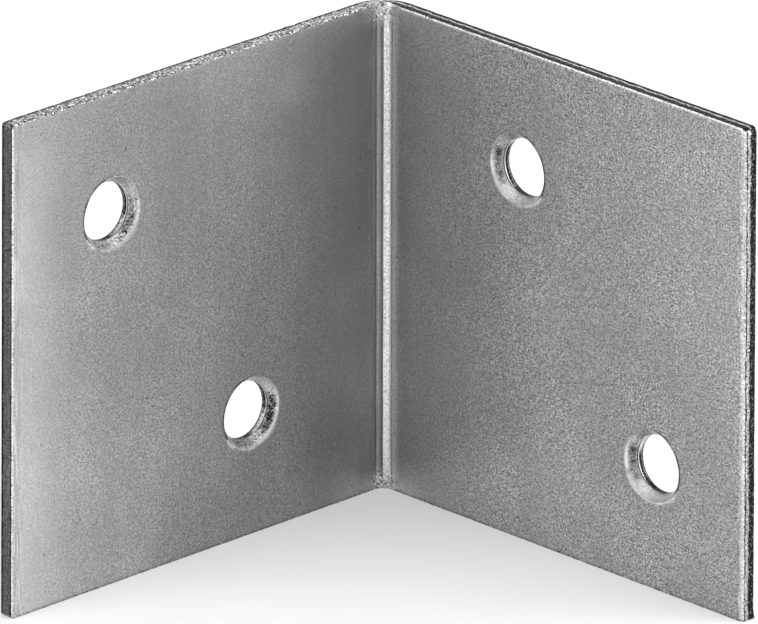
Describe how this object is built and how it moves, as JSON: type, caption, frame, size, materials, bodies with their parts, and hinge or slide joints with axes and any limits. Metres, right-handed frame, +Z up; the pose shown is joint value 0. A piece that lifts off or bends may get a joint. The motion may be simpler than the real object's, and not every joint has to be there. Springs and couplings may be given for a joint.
{
  "type": "angle bracket",
  "caption": "Wide right-angle bracket folded from one square-cut strip of zinc-plated sheet steel, with countersunk screw holes set on a diagonal in each leaf.",
  "frame": {"origin": "middle of the bounding box in X and Y, at the height of the bottom edges", "axes": "+Z up along the fold; the left leaf's outside face looks along -X and the right leaf's outside face along +Y, so the heel of the fold is at -X +Y"},
  "size_m": [0.05, 0.05, 0.0495],
  "materials": {
    "zinc_plated_steel": "satin zinc plating with a fine grain"
  },
  "bodies": {
    "root": {"bracket": "zinc_plated_steel"}
  },
  "joints": []
}
